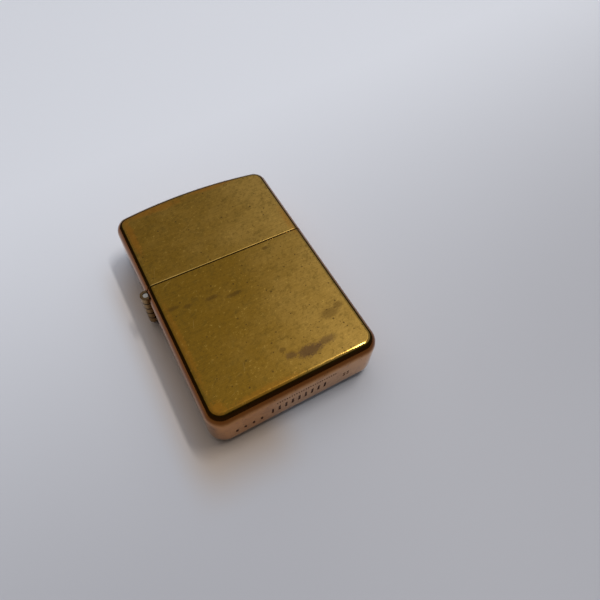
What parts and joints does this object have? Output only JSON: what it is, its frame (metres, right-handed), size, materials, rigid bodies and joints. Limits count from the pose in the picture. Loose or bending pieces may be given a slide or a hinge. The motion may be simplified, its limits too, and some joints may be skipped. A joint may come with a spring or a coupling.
{
  "type": "lighter",
  "caption": "Flip-top windproof petrol lighter lying on its back, hinged brass case over a steel insert with chimney, flint wheel and cam.",
  "frame": {"origin": "centre of the back face that the lighter lies on", "axes": "+X across the case away from the hinge, +Y from the case's bottom to the lid's top, +Z out of the wide front face"},
  "size_m": [0.0395, 0.0572, 0.0127],
  "materials": {
    "case_brass": "brushed, tarnished olive gold",
    "hinge_brass": "dull, tarnished",
    "pin_steel": "dull ground end",
    "insert_steel": "satin stainless",
    "cam_steel": "tumbled, stamped edges",
    "rivet_steel": "bright headed",
    "spring_steel": "blued spring temper",
    "wheel_steel": "hardened, dark, cross-cut",
    "feed_brass": "turned",
    "flint_alloy": "dark pressed alloy",
    "wick_braid": "braided fibre with fine wire",
    "cotton": "loose fibre",
    "felt": "pressed felt"
  },
  "bodies": {
    "case": {"case_bottom": "case_brass", "case_hinge_leaf": "hinge_brass", "hinge_pin": "pin_steel", "fuel_tank": "insert_steel", "chimney": "insert_steel", "cam_rivet": "rivet_steel", "cam_spring": "spring_steel", "cam_spring_rivet": "rivet_steel", "wheel_rivet": "rivet_steel", "flint_tube": "feed_brass", "flint": "flint_alloy", "flint_plunger": "feed_brass", "flint_spring": "spring_steel", "flint_screw": "feed_brass", "wick": "wick_braid", "cotton_ball_1": "cotton", "cotton_ball_2": "cotton", "cotton_ball_3": "cotton", "cotton_ball_4": "cotton", "cotton_ball_5": "cotton", "felt_pad": "felt"},
    "lid": {"case_lid": "case_brass", "lid_hinge_leaf": "hinge_brass"},
    "cam": {"cam_lever": "cam_steel"},
    "wheel": {"flint_wheel": "wheel_steel"}
  },
  "joints": [
    {"name": "lid_hinge", "type": "hinge", "parent": "case", "child": "lid", "pos_m": [-0.01925, 0.00505, 0.00635], "axis": [0, 0, 1], "range_deg": [0, 120]},
    {"name": "cam_pivot", "type": "hinge", "parent": "case", "child": "cam", "pos_m": [-0.01235, 0.0106, 0.00635], "axis": [0, 0, 1], "range_deg": [-18, 0], "deforming": ["cam_spring"]},
    {"name": "wheel_spin", "type": "hinge", "parent": "case", "child": "wheel", "pos_m": [0.0096, 0.0143, 0.00635], "axis": [0, 0, 1], "continuous": true}
  ],
  "couplings": [
    {"joint": "cam_pivot", "follows": "lid_hinge", "ratio": -0.15}
  ]
}
